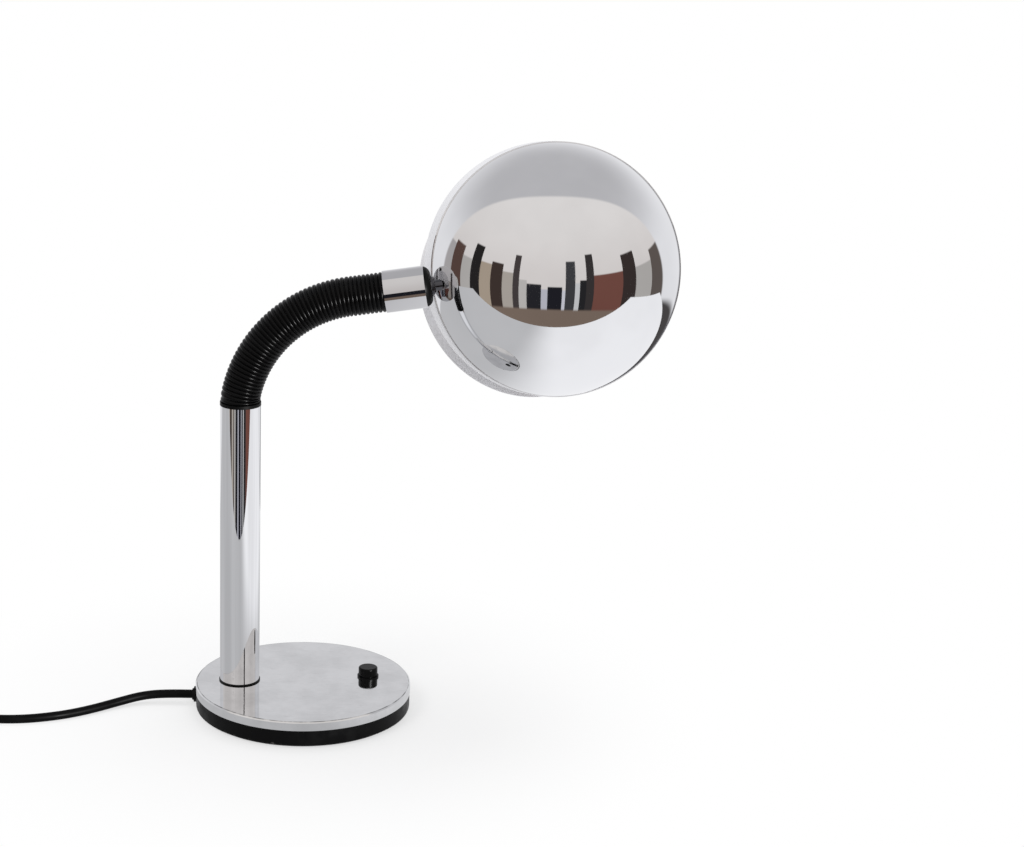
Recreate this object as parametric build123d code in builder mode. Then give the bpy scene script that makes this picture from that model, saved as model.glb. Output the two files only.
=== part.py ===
"""Desk lamp with a round weighted base, a straight stem, a ribbed flexible neck and a ball-shaped shade.

Millimetres, +Z up. The origin is the centre of the underside of the base. The stem stands on the left
of the base (-X), the push button on the right (+X), and the shade's mouth faces back (+Y) and down.
"""

import os
from math import cos, inf, radians, sin, sqrt, tan

from build123d import *

os.makedirs("parts", exist_ok=True)

# Base
base_radius = 87.5
base_height = 22.0
cover_wall = 1.5
cover_skirt_height = 7.5
cover_skirt_wall = 2.5
cover_bevel = 1.2
ring_inset = 0.4
ring_wall = 15.0
ring_ledge_width = 6.0
ring_edge_round = 1.5
pad_thickness = 1.5
pad_inset = 4.0
weight_lift = 4.0
weight_clearance = 0.4
stem_edge_distance = 35.5
button_edge_distance = 35.0
button_back = 12.0
seat_clearance = 0.1

# Stem
stem_radius = 16.0
stem_wall = 1.5
stem_length = 232.2
gasket_thickness = 1.0
gasket_overhang = 0.6
stem_plug_length = 16.0
spigot_radius = 6.0
wire_bore_radius = 3.0
stem_nut_flats = 19.0
stem_nut_height = 5.5
stem_washer_radius = 12.0
stem_washer_thickness = 1.5
nut_pocket_clearance = 1.0
spigot_tail = 1.0

# Push button
button_radius = 7.8
button_height = 8.5
button_travel = 2.5
button_depth = 10.0
button_top_round = 1.2
collar_wall = 0.9
collar_height = 1.3
collar_barrel_wall = 0.4
running_clearance = 0.05
switch_wall = 3.1
switch_floor = 3.0
switch_bottom_gap = 1.0

# Flexible neck
neck_foot_straight = 4.0
neck_foot_radius = 28.0
neck_foot_turn = 12.0
neck_arc_radius = 103.0
neck_heading = 80.8
rib_count = 48
rib_crest_radius = 15.8
rib_valley_radius = 14.3
rib_crest_start = 0.30
rib_crest_end = 0.70
rib_valley_end = 0.96
neck_bore_radius = 11.0
neck_tail_length = 32.0
foot_ring_height = 2.6
foot_ring_radius = 16.3

# Neck end and swivel
sleeve_radius = 16.6
sleeve_wall = 1.1
sleeve_length = 32.3
sleeve_end_wall = 3.0
sleeve_tail_depth = 20.0
neck_gasket_thickness = 4.9
neck_gasket_inset = 0.7
neck_gasket_tip_radius = 9.6
neck_gasket_bulge = 1.3
swivel_gap = 0.2
cap_base_radius = 8.2
cap_tip_radius = 4.8
cap_length = 2.8
cap_bulge = 0.4
bolt_radius = 4.0
bolt_inside = 8.5
bolt_in_cap = 1.6
swivel_nut_flats = 16.0
swivel_nut_height = 3.6
boss_radius = 4.2
boss_length = 3.366

# Head dome, the bright front of the ball that the neck carries
ball_radius = 103.5
dome_wall = 0.8
ball_along = 192.745
ball_back = 51.5
ball_drop = 10.608
dome_turn = 9.76
dome_rise = 10.92
dome_edge_distance = 22.8
dome_bead_width = 2.6
dome_bead_height = 0.6
dome_seal_width = 1.0
dome_seal_inset = 0.2

# Shade bowl, which turns inside the dome on a stud
bowl_clearance = 0.4
bowl_wall = 0.8
mouth_turn = 19.6
mouth_dip = 27.5
mouth_distance = 60.0
lip_width = 8.6
lip_rise = 3.0
lip_thickness = 1.2
stud_radius = 3.0
stud_inside = 6.0
stud_nut_radius = 5.5
stud_nut_height = 3.0

# Bulb and holder
holder_plate_radius = 19.0
holder_plate_thickness = 4.0
holder_radius = 17.0
holder_length = 42.0
holder_floor = 16.0
bulb_cap_radius = 13.0
bulb_cap_clearance = 0.3
bulb_cap_length = 27.0
bulb_radius = 29.0
bulb_glass_length = 76.0
bulb_glass_wall = 1.0
bulb_shoulder_share = 0.45
bulb_shoulder_radius = 19.1
bulb_throat_slope = 0.15

# Mains cord
cord_diameter = 7.0
cord_exit_height = 8.0
cord_arc_share = 0.45
relief_flange_radius = 6.4
relief_flange_thickness = 2.0
relief_tip_radius = 4.6
relief_outside = 3.4
relief_inside = 2.0
relief_hole_radius = 5.2
channel_width = 14.0
channel_height = 11.0
clamp_length = 4.4
clamp_height = 9.0
coil_layer_turns = 3
coil_outer_radius = 51.0
coil_gap = 0.5
coil_climb_inset = 1.2
coil_tail_length = 46.0
tie_thickness = 1.2
tie_width = 9.0
tie_clearance = 0.3
plug_length = 40.0
plug_width = 32.0
plug_round = 6.0
plug_pin_radius = 2.0
plug_pin_length = 19.0
plug_pin_spacing = 19.0

# Route of the free cord, from the tip of the strain relief across the table to the start of the coil
cord_route = [
    (0.0, 0.0, cord_exit_height),
    (-21.5, 0.0, cord_exit_height),
    (-40.5, -2.0, 6.6),
    (-58.5, -11.0, 4.4),
    (-76.0, -24.5, 3.8),
    (-93.5, -36.0, 3.6),
    (-112.5, -45.0, 3.8),
    (-133.5, -50.0, 3.6),
    (-157.5, -51.0, 3.9),
    (-183.5, -48.5, 4.4),
    (-209.5, -47.0, 4.7),
    (-234.5, -46.5, 5.0),
    (-252.5, -47.0, 5.05),
]


def keep(piece, node):
    """Label a finished piece and write it under its node name."""
    piece.part.label = node
    export_step(piece.part, f"parts/{node}.step")


# Heights worked out from the sizes above
stem_at = (stem_edge_distance - base_radius, 0.0)
button_at = (base_radius - button_edge_distance, button_back)
cover_inside = base_height - cover_wall
skirt_bottom = base_height - cover_skirt_height
ring_radius = base_radius - ring_inset
ring_inner = ring_radius - ring_wall
stem_bottom = base_height + gasket_thickness
stem_top = stem_bottom + stem_length
stem_inner = stem_radius - stem_wall

# Base pad, the soft disc that the lamp stands on
with BuildPart() as base_pad:
    Cylinder(base_radius - pad_inset, pad_thickness, align=(Align.CENTER, Align.CENTER, Align.MIN))
keep(base_pad, "base_pad")

# Black ring between the pad and the bright cover, with an inner ledge for the weight
with BuildPart() as base_ring:
    with BuildSketch(Plane.XY.offset(pad_thickness)):
        Circle(ring_radius)
        Circle(ring_inner, mode=Mode.SUBTRACT)
    extrude(amount=skirt_bottom - pad_thickness)
    fillet(base_ring.edges().group_by(Axis.Z)[0].sort_by(SortBy.LENGTH)[-1], ring_edge_round)
    with BuildSketch(Plane.XY.offset(pad_thickness)):
        Circle(ring_inner)
        Circle(ring_inner - ring_ledge_width, mode=Mode.SUBTRACT)
    extrude(amount=weight_lift - pad_thickness)
    with BuildSketch(Plane.YZ.offset(-ring_radius)):
        with Locations((0, cord_exit_height)):
            Circle(relief_hole_radius)
    extrude(amount=ring_wall + relief_inside, mode=Mode.SUBTRACT)
keep(base_ring, "base_ring")

# Bright cover with a bevelled edge, a hole for the stem spigot and a hole for the button collar
collar_barrel_radius = button_radius + running_clearance + collar_barrel_wall
with BuildPart() as base_cover:
    with BuildSketch(Plane.XY.offset(skirt_bottom)):
        Circle(base_radius)
    extrude(amount=cover_skirt_height)
    chamfer(base_cover.edges().group_by(Axis.Z)[-1], cover_bevel)
    with BuildSketch(Plane.XY.offset(skirt_bottom)):
        Circle(base_radius - cover_skirt_wall)
    extrude(amount=cover_skirt_height - cover_wall, mode=Mode.SUBTRACT)
    with BuildSketch(Plane.XY.offset(cover_inside)):
        with Locations(stem_at):
            Circle(spigot_radius + seat_clearance)
        with Locations(button_at):
            Circle(collar_barrel_radius)
    extrude(amount=cover_wall, mode=Mode.SUBTRACT)
keep(base_cover, "base_cover")

# Iron weight, with pockets for the stem nut and the switch and a channel for the cord
weight_height = cover_inside - weight_lift
nut_pocket_top = pad_thickness + spigot_tail + stem_nut_height + stem_washer_thickness + weight_lift
switch_radius = button_radius + switch_wall
with BuildPart() as base_weight:
    with BuildSketch(Plane.XY.offset(weight_lift)):
        Circle(ring_inner - weight_clearance)
    extrude(amount=weight_height)
    with BuildSketch(Plane.XY.offset(weight_lift)):
        with Locations(stem_at):
            Circle(spigot_radius + seat_clearance)
        with Locations(button_at):
            Circle(switch_radius + weight_clearance)
    extrude(amount=weight_height, mode=Mode.SUBTRACT)
    with BuildSketch(Plane.XY.offset(weight_lift)):
        with Locations(stem_at):
            Circle(stem_washer_radius + nut_pocket_clearance)
    extrude(amount=nut_pocket_top - weight_lift, mode=Mode.SUBTRACT)
    with BuildSketch(Plane.XY.offset(weight_lift)):
        with Locations(stem_at):
            Rectangle(ring_inner + stem_at[0], channel_width, align=(Align.MAX, Align.CENTER))
    extrude(amount=channel_height, mode=Mode.SUBTRACT)
keep(base_weight, "base_weight")

# Stem gasket, tube and the plug that holds the tube down
with BuildPart() as stem_gasket:
    with BuildSketch(Plane.XY.offset(base_height)):
        with Locations(stem_at):
            Circle(stem_radius + gasket_overhang)
            Circle(spigot_radius + seat_clearance, mode=Mode.SUBTRACT)
    extrude(amount=gasket_thickness)
keep(stem_gasket, "stem_gasket")

with BuildPart() as stem_tube:
    with BuildSketch(Plane.XY.offset(stem_bottom)):
        with Locations(stem_at):
            Circle(stem_radius)
            Circle(stem_inner, mode=Mode.SUBTRACT)
    extrude(amount=stem_length)
keep(stem_tube, "stem_tube")

washer_bottom = nut_pocket_top - stem_washer_thickness
nut_bottom = washer_bottom - stem_nut_height
with BuildPart() as stem_plug:
    with BuildSketch(Plane.XY.offset(stem_bottom)):
        with Locations(stem_at):
            Circle(stem_inner)
    extrude(amount=stem_plug_length)
    with BuildSketch(Plane.XY.offset(nut_bottom - spigot_tail)):
        with Locations(stem_at):
            Circle(spigot_radius)
    extrude(amount=stem_bottom - nut_bottom + spigot_tail)
    with BuildSketch(Plane.XY.offset(nut_bottom - spigot_tail)):
        with Locations(stem_at):
            Circle(wire_bore_radius)
    extrude(amount=stem_bottom - nut_bottom + spigot_tail + stem_plug_length, mode=Mode.SUBTRACT)
keep(stem_plug, "stem_plug")

with BuildPart() as stem_washer:
    with BuildSketch(Plane.XY.offset(washer_bottom)):
        with Locations(stem_at):
            Circle(stem_washer_radius)
            Circle(spigot_radius + seat_clearance, mode=Mode.SUBTRACT)
    extrude(amount=stem_washer_thickness)
keep(stem_washer, "stem_washer")

with BuildPart() as stem_nut:
    with BuildSketch(Plane.XY.offset(nut_bottom)):
        with Locations(stem_at):
            RegularPolygon(stem_nut_flats / 2, 6, major_radius=False)
            Circle(spigot_radius, mode=Mode.SUBTRACT)
    extrude(amount=stem_nut_height)
keep(stem_nut, "stem_nut")

# Push button, its collar and the switch under the cover
button_bore = button_radius + running_clearance
button_bottom = base_height - button_depth
with BuildPart() as switch_collar:
    with BuildSketch(Plane.XY.offset(cover_inside)):
        with Locations(button_at):
            Circle(collar_barrel_radius)
    extrude(amount=cover_wall)
    with BuildSketch(Plane.XY.offset(base_height)):
        with Locations(button_at):
            Circle(button_bore + collar_wall)
    extrude(amount=collar_height)
    with BuildSketch(Plane.XY.offset(cover_inside)):
        with Locations(button_at):
            Circle(button_bore)
    extrude(amount=cover_wall + collar_height, mode=Mode.SUBTRACT)
keep(switch_collar, "switch_collar")

with BuildPart() as switch_button:
    with BuildSketch(Plane.XY.offset(button_bottom)):
        with Locations(button_at):
            Circle(button_radius)
    extrude(amount=button_depth + button_height)
    fillet(switch_button.edges().group_by(Axis.Z)[-1], button_top_round)
keep(switch_button, "switch_button")

switch_bottom = button_bottom - button_travel - switch_bottom_gap - switch_floor
with BuildPart() as switch_body:
    with BuildSketch(Plane.XY.offset(switch_bottom)):
        with Locations(button_at):
            Circle(switch_radius)
    extrude(amount=cover_inside - switch_bottom)
    with BuildSketch(Plane.XY.offset(switch_bottom + switch_floor)):
        with Locations(button_at):
            Circle(button_bore)
    extrude(amount=cover_inside - switch_bottom - switch_floor, mode=Mode.SUBTRACT)
keep(switch_body, "switch_body")

# Centre line of the flexible neck: up from the stem, a short bend, a long bend, and straight into the sleeve.
# The swivel's tip meets the ball a boss length on, so the straight end is as long as the ball's place asks.
foot_turn = radians(neck_foot_turn)
heading = radians(neck_heading)
foot_arc_length = neck_foot_radius * foot_turn
long_arc_length = neck_arc_radius * (heading - foot_turn)
cap_foot = sleeve_length + neck_gasket_thickness + swivel_gap
cap_tip = cap_foot + cap_length
ball_reach = cap_tip + boss_length + sqrt(ball_radius**2 - ball_back**2 - ball_drop**2)
foot_arc_run = neck_foot_radius * (1 - cos(foot_turn))
long_arc_run = neck_arc_radius * (cos(foot_turn) - cos(heading))
sleeve_along = ball_along - ball_reach * sin(heading) - ball_drop * cos(heading)
neck_end_straight = (sleeve_along - stem_at[0] - foot_arc_run - long_arc_run) / sin(heading)
neck_length = neck_foot_straight + foot_arc_length + long_arc_length + neck_end_straight


def neck_station(along):
    """Position, and heading from vertical, of the neck's centre line at a length above the stem top."""
    x, z, turn = stem_at[0], stem_top, 0.0
    stretches = (
        (neck_foot_straight, 0.0),
        (foot_arc_length, 1 / neck_foot_radius),
        (long_arc_length, 1 / neck_arc_radius),
        (inf, 0.0),
    )
    for length, curvature in stretches:
        step = min(along, length)
        if curvature:
            end_turn = turn + step * curvature
            x += (cos(turn) - cos(end_turn)) / curvature
            z += (sin(end_turn) - sin(turn)) / curvature
            turn = end_turn
        else:
            x += step * sin(turn)
            z += step * cos(turn)
        along -= step
    return x, z, turn


def neck_plane(along):
    """Plane square to the neck's centre line, with its X axis along +Y all the way."""
    x, z, turn = neck_station(along)
    return Plane(origin=(x, 0, z), x_dir=(0, 1, 0), z_dir=(sin(turn), 0, cos(turn)))


# Ribbed cover of the neck: a plain tail in the stem, the ribs, and a plain tail in the sleeve
tail_radius = stem_inner - seat_clearance
sleeve_inner = sleeve_radius - sleeve_wall
rib_pitch = (neck_length - foot_ring_height) / rib_count
neck_sections = [(-neck_tail_length, tail_radius)]
for rib in range(rib_count):
    foot = foot_ring_height + rib * rib_pitch
    neck_sections.append((foot, rib_valley_radius))
    neck_sections.append((foot + rib_crest_start * rib_pitch, rib_crest_radius))
    neck_sections.append((foot + rib_crest_end * rib_pitch, rib_crest_radius))
    neck_sections.append((foot + rib_valley_end * rib_pitch, rib_valley_radius))
neck_sections.append((neck_length, sleeve_inner - seat_clearance))
neck_sections.append((neck_length + sleeve_tail_depth, sleeve_inner - seat_clearance))

with BuildPart() as gooseneck_cover:
    for along, radius in neck_sections:
        with BuildSketch(neck_plane(along)):
            Circle(radius)
    loft(ruled=True)
    with BuildLine() as bore_line:
        bore_points = [neck_station(along) for along in (
            -neck_tail_length,
            neck_foot_straight,
            neck_foot_straight + foot_arc_length,
            neck_length - neck_end_straight,
            neck_length + sleeve_tail_depth,
        )]
        bore_places = [(x, 0, z) for x, z, turn in bore_points]
        Line(bore_places[0], bore_places[1])
        TangentArc(bore_places[1], bore_places[2], tangent=(0, 0, 1))
        TangentArc(bore_places[2], bore_places[3], tangent=(sin(foot_turn), 0, cos(foot_turn)))
        Line(bore_places[3], bore_places[4])
    with BuildSketch(neck_plane(-neck_tail_length)):
        Circle(neck_bore_radius)
    sweep(path=bore_line.wire(), mode=Mode.SUBTRACT)
keep(gooseneck_cover, "gooseneck_cover")

with BuildPart() as neck_foot_ring:
    with BuildSketch(Plane.XY.offset(stem_top)):
        with Locations(stem_at):
            Circle(foot_ring_radius)
            Circle(stem_inner, mode=Mode.SUBTRACT)
    extrude(amount=foot_ring_height)
keep(neck_foot_ring, "neck_foot_ring")

# Neck end: bright sleeve with an end wall, black gasket, and the swivel that carries the shade
sleeve_plane = neck_plane(neck_length)
bolt_hole = bolt_radius + running_clearance
gasket_radius = sleeve_radius - neck_gasket_inset
with BuildPart() as neck_sleeve:
    with BuildSketch(sleeve_plane):
        Circle(sleeve_radius)
        Circle(sleeve_inner, mode=Mode.SUBTRACT)
    extrude(amount=sleeve_length)
    with BuildSketch(sleeve_plane.offset(sleeve_length - sleeve_end_wall)):
        Circle(sleeve_inner)
        Circle(bolt_hole, mode=Mode.SUBTRACT)
    extrude(amount=sleeve_end_wall)
keep(neck_sleeve, "neck_sleeve")

sleeve_origin = sleeve_plane.origin
sleeve_axis = Axis(sleeve_origin, sleeve_plane.z_dir)
sleeve_profile_plane = Plane(origin=sleeve_origin, x_dir=sleeve_plane.z_dir, z_dir=(0, -1, 0))
gasket_tip = sleeve_length + neck_gasket_thickness
with BuildPart() as neck_gasket:
    with BuildSketch(sleeve_profile_plane):
        with BuildLine():
            Polyline(
                (gasket_tip, neck_gasket_tip_radius),
                (gasket_tip, bolt_hole),
                (sleeve_length, bolt_hole),
                (sleeve_length, gasket_radius),
            )
            SagittaArc((sleeve_length, gasket_radius), (gasket_tip, neck_gasket_tip_radius), neck_gasket_bulge)
        make_face()
    revolve(axis=sleeve_axis)
keep(neck_gasket, "neck_gasket")

# Swivel cap, domed from the gasket to a narrow tip
with BuildPart() as swivel_cap:
    with BuildSketch(sleeve_profile_plane):
        with BuildLine():
            Polyline((cap_tip, cap_tip_radius), (cap_tip, 0), (cap_foot, 0), (cap_foot, cap_base_radius))
            SagittaArc((cap_foot, cap_base_radius), (cap_tip, cap_tip_radius), cap_bulge)
        make_face()
    revolve(axis=sleeve_axis)
    with BuildSketch(sleeve_plane.offset(cap_foot)):
        Circle(bolt_radius)
    extrude(amount=bolt_in_cap, mode=Mode.SUBTRACT)
keep(swivel_cap, "swivel_cap")

with BuildPart() as swivel_bolt:
    with BuildSketch(sleeve_plane.offset(sleeve_length - bolt_inside)):
        Circle(bolt_radius)
        Circle(wire_bore_radius, mode=Mode.SUBTRACT)
    extrude(amount=cap_foot + bolt_in_cap - sleeve_length + bolt_inside)
keep(swivel_bolt, "swivel_bolt")

swivel_nut_top = sleeve_length - sleeve_end_wall - swivel_gap
with BuildPart() as swivel_nut:
    with BuildSketch(sleeve_plane.offset(swivel_nut_top - swivel_nut_height)):
        RegularPolygon(swivel_nut_flats / 2, 6, major_radius=False)
        Circle(bolt_radius, mode=Mode.SUBTRACT)
    extrude(amount=swivel_nut_height)
keep(swivel_nut, "swivel_nut")

# Boss from the swivel cap's tip to the ball, cut to the ball's surface
ball_height = sleeve_origin.Z + ball_reach * cos(heading) - ball_drop * sin(heading)
ball_centre = Vector(ball_along, ball_back, ball_height)
ball_plane = Plane(origin=ball_centre)
ball_solid = Solid.make_sphere(ball_radius, ball_plane)
with BuildPart() as swivel_boss:
    with BuildSketch(sleeve_plane.offset(cap_tip)):
        Circle(boss_radius)
    extrude(amount=ball_reach - cap_tip)
    add(ball_solid, mode=Mode.SUBTRACT)
keep(swivel_boss, "swivel_boss")

# Head dome, a piece of a spherical shell, and the bead rolled round its edge
dome_plane = Plane(
    origin=ball_centre,
    x_dir=(cos(radians(dome_turn)), sin(radians(dome_turn)), 0),
    z_dir=(
        sin(radians(dome_turn)) * cos(radians(dome_rise)),
        -cos(radians(dome_turn)) * cos(radians(dome_rise)),
        sin(radians(dome_rise)),
    ),
)
dome_axis = Axis(ball_centre, dome_plane.z_dir)
dome_profile_plane = Plane(origin=ball_centre, x_dir=dome_plane.z_dir, z_dir=dome_plane.x_dir)
dome_inner = ball_radius - dome_wall
with BuildPart() as head_dome:
    with BuildSketch(dome_profile_plane):
        Circle(ball_radius)
        Circle(dome_inner, mode=Mode.SUBTRACT)
        with Locations((dome_edge_distance, 0)):
            Rectangle(ball_radius, ball_radius, align=(Align.MIN, Align.MIN), mode=Mode.INTERSECT)
    revolve(axis=dome_axis)
keep(head_dome, "head_dome")

bead_radius = ball_radius + dome_bead_height
with BuildPart() as dome_bead:
    with BuildSketch(dome_profile_plane):
        Circle(bead_radius)
        Circle(dome_inner, mode=Mode.SUBTRACT)
        with Locations((dome_edge_distance, 0)):
            Rectangle(dome_bead_width, bead_radius, align=(Align.MAX, Align.MIN), mode=Mode.INTERSECT)
    revolve(axis=dome_axis)
keep(dome_bead, "dome_bead")

# Black seal behind the bead, which closes the gap to the bowl
seal_edge = dome_edge_distance - dome_bead_width
seal_radius = ball_radius - dome_seal_inset
with BuildPart() as dome_seal:
    with BuildSketch(dome_profile_plane):
        Circle(seal_radius)
        Circle(dome_inner, mode=Mode.SUBTRACT)
        with Locations((seal_edge, 0)):
            Rectangle(dome_seal_width, seal_radius, align=(Align.MAX, Align.MIN), mode=Mode.INTERSECT)
    revolve(axis=dome_axis)
keep(dome_seal, "dome_seal")

# Shade bowl, an open shell with a hole for the stud, and the flared lip round its mouth
mouth_plane = Plane(
    origin=ball_centre,
    x_dir=(cos(radians(mouth_turn)), sin(radians(mouth_turn)), 0),
    z_dir=(
        -sin(radians(mouth_turn)) * cos(radians(mouth_dip)),
        cos(radians(mouth_turn)) * cos(radians(mouth_dip)),
        -sin(radians(mouth_dip)),
    ),
)
mouth_axis = Axis(ball_centre, mouth_plane.z_dir)
mouth_profile_plane = Plane(origin=ball_centre, x_dir=mouth_plane.z_dir, z_dir=mouth_plane.x_dir)
bowl_radius = dome_inner - bowl_clearance
bowl_inner = bowl_radius - bowl_wall
with BuildPart(ball_plane) as shade_bowl:
    Sphere(bowl_radius)
    Sphere(bowl_inner, mode=Mode.SUBTRACT)
    split(bisect_by=mouth_plane.offset(mouth_distance), keep=Keep.BOTTOM)
    with BuildSketch(dome_plane):
        Circle(stud_radius + running_clearance)
    extrude(amount=ball_radius, mode=Mode.SUBTRACT)
keep(shade_bowl, "shade_bowl")

mouth_radius = sqrt(bowl_radius**2 - mouth_distance**2)
mouth_inner = sqrt(bowl_inner**2 - mouth_distance**2)
lip_radius = mouth_radius + lip_width
with BuildPart() as shade_lip:
    with BuildSketch(mouth_profile_plane):
        with BuildLine():
            Polyline(
                (mouth_distance, mouth_inner),
                (mouth_distance, mouth_radius),
                (mouth_distance + lip_rise, lip_radius),
                (mouth_distance + lip_rise + lip_thickness, lip_radius),
                (mouth_distance + lip_thickness, mouth_inner),
                close=True,
            )
        make_face()
    revolve(axis=mouth_axis)
keep(shade_lip, "shade_lip")

# Stud inside the dome that the bowl turns on, and its nut
stud_tip = dome_inner - stud_inside
with BuildPart() as pivot_stud:
    with BuildSketch(dome_plane.offset(stud_tip)):
        Circle(stud_radius)
    extrude(amount=ball_radius - stud_tip)
    add(Solid.make_sphere(dome_inner, ball_plane), mode=Mode.INTERSECT)
keep(pivot_stud, "pivot_stud")

stud_nut_top = sqrt(bowl_inner**2 - stud_nut_radius**2) - swivel_gap
with BuildPart() as pivot_nut:
    with BuildSketch(dome_plane.offset(stud_nut_top - stud_nut_height)):
        RegularPolygon(stud_nut_radius, 6)
        Circle(stud_radius, mode=Mode.SUBTRACT)
    extrude(amount=stud_nut_height)
keep(pivot_nut, "pivot_nut")

# Bulb holder on the wall opposite the mouth, and the bulb on the line through the mouth's centre
plate_back = -sqrt(bowl_inner**2 - holder_plate_radius**2) + seat_clearance
with BuildPart() as holder_plate:
    with BuildSketch(mouth_plane.offset(plate_back)):
        Circle(holder_plate_radius)
    extrude(amount=holder_plate_thickness)
keep(holder_plate, "holder_plate")

holder_back = plate_back + holder_plate_thickness
holder_bore = bulb_cap_radius + bulb_cap_clearance
with BuildPart() as lamp_holder:
    with BuildSketch(mouth_plane.offset(holder_back)):
        Circle(holder_radius)
    extrude(amount=holder_length)
    with BuildSketch(mouth_plane.offset(holder_back + holder_floor)):
        Circle(holder_bore)
    extrude(amount=holder_length - holder_floor, mode=Mode.SUBTRACT)
keep(lamp_holder, "lamp_holder")

cap_back = holder_back + holder_floor
glass_back = cap_back + bulb_cap_length
with BuildPart() as bulb_cap:
    with BuildSketch(mouth_plane.offset(cap_back)):
        Circle(bulb_cap_radius)
    extrude(amount=bulb_cap_length)
keep(bulb_cap, "bulb_cap")

bulb_centre = glass_back + bulb_glass_length - bulb_radius
bulb_shoulder = glass_back + (bulb_glass_length - bulb_radius) * bulb_shoulder_share
with BuildPart() as bulb_glass:
    with BuildSketch(mouth_profile_plane):
        with BuildLine():
            Line((glass_back, 0), (glass_back, bulb_cap_radius))
            Spline(
                (glass_back, bulb_cap_radius),
                (bulb_shoulder, bulb_shoulder_radius),
                (bulb_centre, bulb_radius),
                tangents=[(1, bulb_throat_slope), (1, 0)],
            )
            RadiusArc((bulb_centre, bulb_radius), (bulb_centre + bulb_radius, 0), bulb_radius)
            Line((bulb_centre + bulb_radius, 0), (glass_back, 0))
        make_face()
    revolve(axis=mouth_axis)
    offset(amount=-bulb_glass_wall, openings=bulb_glass.faces().sort_by(mouth_axis)[0], mode=Mode.REPLACE)
keep(bulb_glass, "bulb_glass")

# Strain relief through the ring, the cord's end inside the base and its clamp
cord_radius = cord_diameter / 2
relief_plane = Plane(origin=(0, 0, cord_exit_height), x_dir=(1, 0, 0), z_dir=(0, -1, 0))
relief_tip = -ring_radius - relief_outside
relief_end = -ring_inner + relief_inside
relief_neck = relief_hole_radius - seat_clearance
with BuildPart() as strain_relief:
    with BuildSketch(relief_plane):
        with BuildLine():
            Polyline(
                (relief_tip, cord_radius),
                (relief_tip, relief_tip_radius),
                (-ring_radius - relief_flange_thickness, relief_neck),
                (-ring_radius - relief_flange_thickness, relief_flange_radius),
                (-ring_radius, relief_flange_radius),
                (-ring_radius, relief_neck),
                (relief_end, relief_neck),
                (relief_end, cord_radius),
                close=True,
            )
        make_face()
    revolve(axis=Axis(relief_plane.origin, relief_plane.x_dir))
keep(strain_relief, "strain_relief")

with BuildPart() as lead_in:
    with BuildSketch(Plane.YZ.offset(relief_tip)):
        with Locations((0, cord_exit_height)):
            Circle(cord_radius)
    extrude(amount=relief_end - relief_tip)
keep(lead_in, "lead_in")

with BuildPart() as cord_clamp:
    with BuildSketch(Plane.XY.offset(weight_lift + channel_height - clamp_height)):
        with Locations((relief_end, 0)):
            Rectangle(clamp_length, channel_width - 2 * seat_clearance, align=(Align.MIN, Align.CENTER))
    extrude(amount=clamp_height)
keep(cord_clamp, "cord_clamp")

# Free cord: straight runs joined by arcs as large as the runs allow
route = [Vector(relief_tip + x, y, z) for x, y, z in cord_route]
runs = [after - before for before, after in zip(route, route[1:])]
bend_radii = []
for before, after in zip(runs, runs[1:]):
    half_turn = radians(before.get_angle(after)) / 2
    bend_radii.append(cord_arc_share * min(before.length, after.length) / tan(half_turn))

with BuildPart() as cord_tube:
    with BuildLine() as cord_line:
        FilletPolyline(*route, radius=bend_radii)
    with BuildSketch(Plane(origin=route[0], z_dir=runs[0])):
        Circle(cord_radius)
    sweep(path=cord_line.wire())
free_length = cord_line.wire().length
keep(cord_tube, "cord_tube")

# Coil of the spare cord: spirals in on the lower layer, climbs, and spirals out on the upper layer
coil_pitch = cord_diameter + coil_gap
coil_start = route[-1]
coil_entry = runs[-1].normalized()
coil_first = coil_start + coil_entry * cord_diameter
flat_entry = Vector(coil_entry.X, coil_entry.Y, 0).normalized()
to_centre = flat_entry.rotate(Axis.Z, 90)
coil_centre = coil_first + to_centre * coil_outer_radius
layer_halves = 2 * coil_layer_turns
coil_knots = []
for half in range(2 * layer_halves + 2):
    inward = min(half, 2 * layer_halves + 1 - half)
    radius = coil_outer_radius - inward * coil_pitch / 2
    if inward == layer_halves:
        radius -= coil_climb_inset
    layer = 0 if half <= layer_halves else 1
    side = -1 if half % 2 == 0 else 1
    knot = coil_centre + to_centre * (side * radius) + Vector(0, 0, layer * coil_pitch)
    coil_knots.append((knot, flat_entry * -side))

with BuildPart() as cord_coil:
    with BuildLine() as coil_line:
        Line(coil_start, coil_first)
        for (first, heading_in), (last, heading_out) in zip(coil_knots, coil_knots[1:]):
            reach = (last - first).length / 2
            middle = (first + last) * 0.5 + heading_in * reach
            TangentArc(first, middle, tangent=heading_in)
            TangentArc(middle, last, tangent=(last - first))
        coil_last, coil_exit = coil_knots[-1]
        coil_end = coil_last + coil_exit * coil_tail_length
        Line(coil_last, coil_end)
    with BuildSketch(Plane(origin=coil_start, z_dir=coil_entry)):
        Circle(cord_radius)
    sweep(path=coil_line.wire())
coil_length = coil_line.wire().length
print("cord length", round(free_length + coil_length, 1), "of which coiled", round(coil_length, 1))
keep(cord_coil, "cord_coil")

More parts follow.
